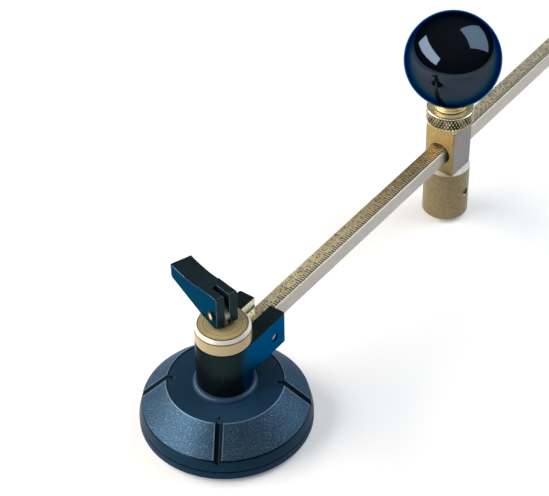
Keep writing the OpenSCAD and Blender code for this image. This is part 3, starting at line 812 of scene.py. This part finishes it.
scaleLook = dict(
    step=1.0 * mm, perNumber=5, first=6, last=60,
    markWidth=0.46 * mm, near=-2.2 * mm, short=-1.0 * mm, long=0.0 * mm,
    digitHeight=1.7 * mm, digitGap=0.28 * mm, digitLow=0.35 * mm,
    sunk=0.03 * mm, proud=0.006 * mm, lipShift=(0.22 * mm, -0.10 * mm), lipDrop=0.002 * mm,
    cut=dict(
        low=(0.012, 0.009, 0.005), high=(0.045, 0.03, 0.015), mottle=(500, 0.2), rough=(0.5, 0.65),
        gloss=0.3, grain=(4000, 0.01 * mm, 0.3)),
    # pale copies beside the marks and numbers: a painted highlight
    lip=dict(
        low=(0.70, 0.66, 0.51), high=(0.92, 0.89, 0.76), mottle=(500, 0.2), rough=(0.3, 0.42), metal=0.4,
        grain=(4000, 0.01 * mm, 0.3)),
)
cutFinish, highlightFinish = (finishSet("scale", {key: scaleLook[key]}) for key in ("cut", "lip"))
headLow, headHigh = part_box("head_body")
headX = 0.5 * (headLow.x + headHigh.x)
readEdge = headX - headLow.x


def digitMesh(digit):
    # one digit's strokes as a closed solid, one unit high, with its lower left corner at the origin
    curve = bpy.data.curves.new("strokes", "FONT")
    curve.body = str(digit)
    curve.extrude = 0.5
    curve.resolution_u = 3
    holder = addObject("strokes", curve)
    bpy.context.view_layer.update()
    mesh = bpy.data.meshes.new_from_object(holder.evaluated_get(bpy.context.evaluated_depsgraph_get()))
    bpy.data.objects.remove(holder)
    shell = bmesh.new()
    shell.from_mesh(mesh)
    bmesh.ops.remove_doubles(shell, verts=shell.verts[:], dist=0.0001)
    bmesh.ops.recalc_face_normals(shell, faces=shell.faces[:])
    shell.to_mesh(mesh)
    shell.free()
    left, low = (min(v.co[i] for v in mesh.vertices) for i in (0, 1))
    size = 1.0 / (max(v.co.y for v in mesh.vertices) - low)
    for v in mesh.vertices:
        v.co = ((v.co.x - left) * size, (v.co.y - low) * size, v.co.z)
    return mesh


def addNumber(shell, number, digits, place, look, thick):
    # the digits side by side, centred on the place
    chosen = [digits[int(one)] for one in str(number)]
    widths = [max(v.co.x for v in mesh.vertices) for mesh in chosen]
    height, gap = look["digitHeight"], look["digitGap"]
    scale = Matrix.Diagonal((height, height, thick, 1))
    x = -0.5 * (height * sum(widths) + gap * (len(chosen) - 1))
    for mesh, width in zip(chosen, widths):
        copy = mesh.copy()
        copy.transform(Matrix.Translation((place[0] + x, place[1], place[2])) @ scale)
        shell.from_mesh(copy)
        bpy.data.meshes.remove(copy)
        x += height * width + gap


def makeScale(look, top):
    cuts, highlightStrokes = bmesh.new(), bmesh.new()
    low, high = top - look["sunk"], top + look["proud"]
    half = 0.5 * look["markWidth"]
    marks = (look["last"] - look["first"]) * look["perNumber"]
    start = look["step"] * look["perNumber"] * look["first"] - readEdge
    shiftX, shiftY = look["lipShift"]
    for count in range(marks + 1):
        x = start + count * look["step"]
        end = look["short"] if count % look["perNumber"] else look["long"]
        addBlock(cuts, (x - half, look["near"], low), (x + half, end, high))
        addBlock(highlightStrokes, (x + half, look["near"], low), (x + half + shiftX, end, high))
    digits = [digitMesh(digit) for digit in range(10)]
    middle, thick, y = 0.5 * (low + high), high - low, look["digitLow"]
    for number in range(look["first"], look["last"] + 1):
        x = look["step"] * look["perNumber"] * number - readEdge
        highlightPlace = (x + shiftX, y + shiftY, middle - look["lipDrop"])
        addNumber(highlightStrokes, number, digits, highlightPlace, look, thick)
        addNumber(cuts, number, digits, (x, y, middle), look, thick)
    for mesh in digits:
        bpy.data.meshes.remove(mesh)
    finishPiece(cuts, "scaleCuts", cutFinish, "bar", "dark_steel", flatFaces=set(cuts.faces))
    finishPiece(highlightStrokes, "scaleLips", highlightFinish, "bar", "bar_brass", flatFaces=set(highlightStrokes.faces))


makeScale(scaleLook, barHigh.z)
print("bar dressed")


# Cutter head: turned below, milled to four flats above; end flats darker towards the bottom as painted
# shade, side flats grey as a painted reflection, ledges and edges light as painted highlights

headLook = {
    "turned": dict(
        low=(0.190, 0.147, 0.066), high=(0.275, 0.212, 0.100), rough=(0.34, 0.44), metal=0.4,
        grain=(1900, 0.03 * mm, 0.35), edge=((0.60, 0.46, 0.17), 0.7)),
    "endFlat": dict(
        low=(0.40, 0.275, 0.092), high=(0.51, 0.360, 0.124),
        # darker towards the bottom of the end flats: painted shade
        fades=[((0, 0, -1), -34.0 * mm, -22.0 * mm, (0.31, 0.222, 0.092))]),
    # the side flats are painted grey as a painted reflection
    "sideFlat": dict(low=(0.205, 0.182, 0.175), high=(0.265, 0.238, 0.228)),
    # the up-facing ledges are painted near-white as a painted highlight
    "ledge": dict(
        low=(0.80, 0.74, 0.64), high=(0.95, 0.91, 0.84), mottle=(320, 0.25), rough=(0.24, 0.34),
        metal=0.15, grain=(2200, 0.02 * mm, 0.3), edge=((0.70, 0.54, 0.20), 0.7)),
    "corner": dict(
        low=(0.24, 0.165, 0.060), high=(0.34, 0.24, 0.10), mottle=(700, 0.16), rough=(0.34, 0.44),
        metal=0.4, grain=(2200, 0.02 * mm, 0.3), edge=((0.60, 0.46, 0.17), 0.5)),
}
headSize = dict(flat=5.7 * mm, corner=0.42 * mm, drawn=0.17 * mm, weld=0.2 * mm, hole=0.28 * mm,
                round=0.12 * mm, sharpest=26.0, near=0.05 * mm)
# the lighter edge tones are painted highlights
headFinishes = finishSet("head", headLook, mottle=(900, 0.13), rough=(0.36, 0.46), metal=0.5,
                         grain=(2200, 0.025 * mm, 0.3), edge=((0.66, 0.50, 0.18), 0.7))


def headRegion(centre, normal):
    if normal.z > 0.95:
        return "ledge"
    reach = 0.9 * headSize["flat"]
    upper = centre.z > 0.5 * headHigh.z
    if upper and abs(normal.x) > 0.98 and abs(centre.x - headX) > reach:
        return "endFlat"
    if upper and abs(normal.y) > 0.98 and abs(centre.y) > reach:
        return "sideFlat"
    beside = min(abs(centre.x - headX), abs(centre.y))
    return "corner" if upper and abs(normal.z) < 0.2 and beside > reach else "turned"


def makeHead(size):
    shell = copyNode("head_body")
    flat, barMiddle = size["flat"], 0.5 * (barLow.z + barHigh.z)

    def atCorner(vert):
        beside = min(abs(vert.co.x - headX), abs(vert.co.y))
        return beside > 0.97 * flat and vert.co.z > 0.5 * headHigh.z

    def holeRim(edge):
        return all(abs(abs(v.co.x - headX) - flat) < size["near"]
                   and math.hypot(v.co.y, v.co.z - barMiddle) < 0.9 * flat for v in edge.verts)

    # the slivers between the flats are welded and the corners drawn in between two cuts
    bmesh.ops.remove_doubles(shell, verts=[v for v in shell.verts if atCorner(v)], dist=size["weld"])
    for across in (Vector((1, 0, 0)), Vector((-1, 0, 0)), Vector((0, 1, 0)), Vector((0, -1, 0))):
        beside = [f for f in shell.faces if abs(f.normal.dot(across)) < 0.1
                  and headRegion(f.calc_center_median(), f.normal) in ("endFlat", "sideFlat")]
        cutFaces(shell, beside, Vector((headX, 0, 0)) + (flat - size["corner"]) * across, across)
    for vert in shell.verts:
        if atCorner(vert):
            vert.co.x -= math.copysign(size["drawn"], vert.co.x - headX)
            vert.co.y -= math.copysign(size["drawn"], vert.co.y)
    roundEdges(shell, size["hole"], size["sharpest"], holeRim)
    roundEdges(shell, size["round"], size["sharpest"])
    paintRegions(shell, headFinishes, headRegion)
    finishPiece(shell, "cutterHead", headFinishes, *ofNode("head_body"))


makeHead(headSize)


# Clamp screw: diamond knurling with valleys painted dark as painted shade, a chamfer painted near-white as
# a painted highlight, and a stepped gold neck

clampLook = {
    # the knurl's valleys take the near-black edge tone: painted shade
    "knurl": dict(
        low=(0.86, 0.70, 0.40), high=(0.97, 0.86, 0.56), mottle=(300, 0.25), rough=(0.24, 0.34),
        metal=0.3, grain=fineGrit, edge=((0.010, 0.007, 0.003), 1.6)),
    # the chamfer's near-white tone and edges are a painted highlight
    "chamfer": dict(
        low=(0.78, 0.74, 0.64), high=(0.92, 0.89, 0.80), mottle=(300, 0.2), rough=(0.18, 0.26), metal=0.3,
        rings=(headX, 2600, 0.02 * mm, 0.25), edge=((0.95, 0.92, 0.84), 0.6)),
    "neck": dict(
        low=(0.72, 0.56, 0.24), high=(0.94, 0.78, 0.42), mottle=(260, 0.25), rough=(0.24, 0.34),
        metal=0.5, rings=(headX, 2600, 0.02 * mm, 0.25), edge=((0.80, 0.66, 0.32), 0.6)),
    # the dark lines and the neck under the ball are painted shade
    "line": dict(
        low=(0.02, 0.014, 0.006), high=(0.06, 0.04, 0.016), mottle=(400, 0.2), rough=(0.34, 0.44),
        metal=0.3, gloss=0.2, grain=fineGrit),
}
knurlLook = dict(teeth=44, rows=5, depth=0.6 * mm, inset=0.12 * mm)
# heights above the knurl at which a line of painted highlight or painted shade ends or begins
clampSize = dict(round=0.12 * mm, shineEnd=0.26 * mm, lineEnd=0.48 * mm, footEnd=0.9 * mm,
                 rimFrom=1.15 * mm, darkFrom=2.5 * mm)
clampFinishes = finishSet("clamp", clampLook)
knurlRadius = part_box("clamp_screw")[1].x - headX


def fromAxis(point):
    return math.hypot(point.x - headX, point.y)


knurlTop = max(v.co.z for v in nodes["clamp_screw"].data.vertices if fromAxis(v.co) > 0.99 * knurlRadius)


def addKnurl(shell, look):
    # cuts out the plain band and sets in rows of points with grooves between them, marked as edges for the
    # painted shade in the valleys
    mask = shell.verts.layers.float["edgeMask"]
    band = [f for f in shell.faces
            if fromAxis(f.calc_center_median()) > 0.985 * knurlRadius and abs(f.normal.z) < 0.1]
    rims = {}
    for face in band:
        for edge in face.edges:
            if any(other not in band for other in edge.link_faces):
                rims.setdefault(round(edge.verts[0].co.z, 6), []).append(edge)
    bmesh.ops.delete(shell, geom=band, context="FACES_ONLY")
    loose = [e for e in shell.edges if not e.link_faces]
    bmesh.ops.delete(shell, geom=loose, context="EDGES")
    bottom, top = min(rims), max(rims)
    columns = 2 * look["teeth"]
    lowest, highest = bottom + look["inset"], top - look["inset"]
    grid = []
    for row in range(look["rows"]):
        z = lowest + (highest - lowest) * row / (look["rows"] - 1)
        ring = []
        for column in range(columns):
            groove = (row + column) % 2
            reach = knurlRadius - look["depth"] * groove
            angle = 2 * math.pi * column / columns
            ring.append(shell.verts.new((headX + reach * math.cos(angle), reach * math.sin(angle), z)))
            ring[-1][mask] = groove
        grid.append(ring)
    points = set()
    for row in range(look["rows"] - 1):
        for column in range(columns):
            after = (column + 1) % columns
            a, b = grid[row][column], grid[row][after]
            c, d = grid[row + 1][after], grid[row + 1][column]
            halves = ((a, b, c), (a, c, d)) if (row + column) % 2 else ((a, b, d), (b, c, d))
            points.update(shell.faces.new(half) for half in halves)
    for ring, level in ((grid[0], bottom), (grid[-1], top)):
        border = [shell.edges.get((ring[i], ring[(i + 1) % columns])) for i in range(columns)]
        rim = [e for e in rims[level] if e.is_valid]
        made = bmesh.ops.bridge_loops(shell, edges=border + rim)
        points.update(made["faces"])
    return points


def clampRegion(centre, normal):
    height, reach = centre.z - knurlTop, fromAxis(centre) / knurlRadius
    if reach > 0.9 and height < clampSize["lineEnd"]:
        return "knurl" if height < 0 else "chamfer" if height < clampSize["shineEnd"] else "line"
    if height > clampSize["darkFrom"]:
        return "line"
    onStep = 0.66 < reach < 0.75 and height > 0 and normal.z < 0.95
    if onStep and height < clampSize["footEnd"]:
        return "line"
    return "chamfer" if onStep and height > clampSize["rimFrom"] else "neck"


def makeClamp(size):
    # the chamfer and the step are cut into lines of painted highlight and painted shade, and the neck is
    # painted dark under the ball as a painted shadow
    shell = copyNode("clamp_screw")
    for key in ("shineEnd", "lineEnd", "footEnd", "rimFrom", "darkFrom"):
        cutFaces(shell, shell.faces[:], (0, 0, knurlTop + size[key]), upward)
    roundEdges(shell, size["round"],
               wanted=lambda edge: 0.55 * knurlRadius < fromAxis(edge.verts[0].co) < 0.95 * knurlRadius)
    points = addKnurl(shell, knurlLook)
    bmesh.ops.recalc_face_normals(shell, faces=shell.faces[:])
    paintRegions(shell, clampFinishes, clampRegion)
    finishPiece(shell, "clampScrew", clampFinishes, *ofNode("clamp_screw"), points)


makeClamp(clampSize)


# Ball knob, small and inner pieces: the solids themselves, with a finish

coatLook = {
    "knobBlack": dict(
        on=("ball_knob",), low=(0.026, 0.034, 0.046), high=(0.032, 0.042, 0.056), mottle=(90, 0.25),
        rough=(0.04, 0.08), metal=1.0, glossTint=(0.1, 0.35, 0.5), grain=(700, 0.004 * mm, 0.12)),
    "steelBright": dict(
        on=("pad_insert", "spindle", "wheel_holder", "wheel_axle", "knob_stud"), low=(0.48, 0.49, 0.51),
        high=(0.68, 0.69, 0.71), mottle=(300, 0.22), rough=(0.24, 0.36), metal=1.0,
        brush=(2600, (1.0, 1.0, 0.05), 0.02 * mm, 0.25)),
    "steelBlack": dict(
        on=("holder_set_screw",), low=(0.22, 0.20, 0.17), high=(0.34, 0.31, 0.26), mottle=(400, 0.2),
        rough=(0.34, 0.46), metal=0.9, grain=(2600, 0.02 * mm, 0.3)),
    "wheelGround": dict(
        on=("cutting_wheel",), low=(0.36, 0.37, 0.39), high=(0.56, 0.57, 0.60), mottle=(500, 0.22),
        rough=(0.22, 0.34), metal=1.0, brush=(3000, (1.0, 0.3, 0.3), 0.02 * mm, 0.3)),
    "rodSteel": dict(
        on=("pull_rod",), low=(0.16, 0.15, 0.14), high=(0.34, 0.33, 0.31), mottle=(600, 0.15),
        rough=(0.30, 0.42), metal=0.9, grain=(2400, 0.02 * mm, 0.3)),
    "pinBrass": dict(
        on=("clamp_plug", "knob_bush"), low=(0.50, 0.36, 0.13), high=(0.78, 0.60, 0.28),
        mottle=(300, 0.2), rough=(0.26, 0.36), metal=0.9, grain=(2400, 0.015 * mm, 0.25)),
    "bearingBronze": dict(
        on=("lower_washer", "upper_washer", "bearing_bush"), low=(0.30, 0.19, 0.08),
        high=(0.46, 0.32, 0.15), mottle=(250, 0.22), rough=(0.34, 0.46), metal=0.9,
        rings=(0.0, 2200, 0.02 * mm, 0.3)),
}
for name, look in coatLook.items():
    finish = makeFinish(name, look)
    for node in look["on"]:
        nodes[node].data.materials.clear()
        nodes[node].data.materials.append(finish)
print("head dressed")


# Floor, lamps and world

# the floor is lifted to white for what sees it directly, more so where the lamps fall off
floorLook = dict(
    half=60.0, drop=0.05 * mm, tone=(0.83, 0.80, 0.775), rough=0.9,
    liftTone=(1.0, 1.0, 1.0), lift=0.20, liftFrom=0.26, farLift=0.90, liftTo=0.66,
)


def makeFloor(look, middle):
    half, z = look["half"], -look["drop"]
    mesh = bpy.data.meshes.new("paleFloor")
    corners = [(-half, -half, z), (half, -half, z), (half, half, z), (-half, half, z)]
    mesh.from_pydata(corners, [], [(0, 1, 2, 3)])
    finish, tree, shader = startFinish("paleFloor", {
        "Base Color": (*look["tone"], 1), "Roughness": look["rough"], "Specular IOR Level": 0.0,
        "Emission Color": (*look["liftTone"], 1)})
    path = addNode(tree, "LightPath")
    seen = addNode(tree, "Math", operation="MAXIMUM")
    through = addNode(tree, "Math", operation="MAXIMUM")
    strength = addNode(tree, "Math", operation="MULTIPLY")
    place = addNode(tree, "TexCoord")
    reach = addNode(tree, "VectorMath", operation="LENGTH")
    span = {"From Min": "liftFrom", "From Max": "liftTo", "To Min": "lift", "To Max": "farLift"}
    lift = addNode(tree, "MapRange", {entry: look[key] for entry, key in span.items()},
                   interpolation_type="SMOOTHSTEP")
    join(tree,
         (place, "Object", reach, 0), (reach, "Value", lift, "Value"), (lift, "Result", strength, 1),
         (path, "Is Camera Ray", seen, 0), (path, "Is Glossy Ray", seen, 1),
         (seen, 0, through, 0), (path, "Is Transmission Ray", through, 1),
         (through, 0, strength, 0), (strength, 0, shader, "Emission Strength"))
    mesh.materials.append(finish)
    floor = addObject("paleFloor", mesh)
    floor.location = middle


lampLook = {
    "left": dict(towards=(-0.636, 0.614, 0.466), away=0.5, size=(0.70, 0.183), spin=0.0,
                 power=3.7, tone=(1.0, 0.98, 0.95)),
    "right": dict(towards=(0.578, -0.448, 0.682), away=0.5, size=(0.467, 0.467), spin=20.0,
                  power=2.72, tone=(0.84, 0.92, 1.0)),
}
aimHeight = 0.06
skyLook = dict(edge=(0.06, 0.07, 0.085), high=(0.17, 0.18, 0.20))


def makeLamps(look, aim):
    for name, one in look.items():
        data = bpy.data.lights.new(name + "Lamp", "AREA")
        data.shape = "RECTANGLE"
        data.size, data.size_y = one["size"]
        data.energy = one["power"]
        data.color = one["tone"]
        lamp = addObject(name + "Lamp", data)
        towards = Vector(one["towards"]).normalized()
        lamp.location = aim + towards * one["away"]
        spin = Quaternion((0, 0, 1), math.radians(one["spin"]))
        lamp.rotation_euler = (towards.to_track_quat("Z", "Y") @ spin).to_euler()
        lamp.visible_camera = False


def makeSky(look):
    world = bpy.data.worlds.new("studioSky")
    world.use_nodes = True
    tree = world.node_tree
    place = addNode(tree, "TexCoord")
    split = addNode(tree, "SeparateXYZ")
    blend = addNode(tree, "Mix", data_type="RGBA")
    blend.inputs[mixUnder].default_value = (*look["edge"], 1)
    blend.inputs[mixOver].default_value = (*look["high"], 1)
    join(tree,
         (place, "Generated", split, 0), (split, "Z", blend, mixFactor),
         (blend, mixResult, tree.nodes["Background"], "Color"))
    bpy.context.scene.world = world


makeFloor(floorLook, Vector((headX, 0, 0)))
makeLamps(lampLook, Vector((headX, 0, aimHeight)))
makeSky(skyLook)
bpy.context.scene.view_settings.view_transform = "Standard"
print("stage set")
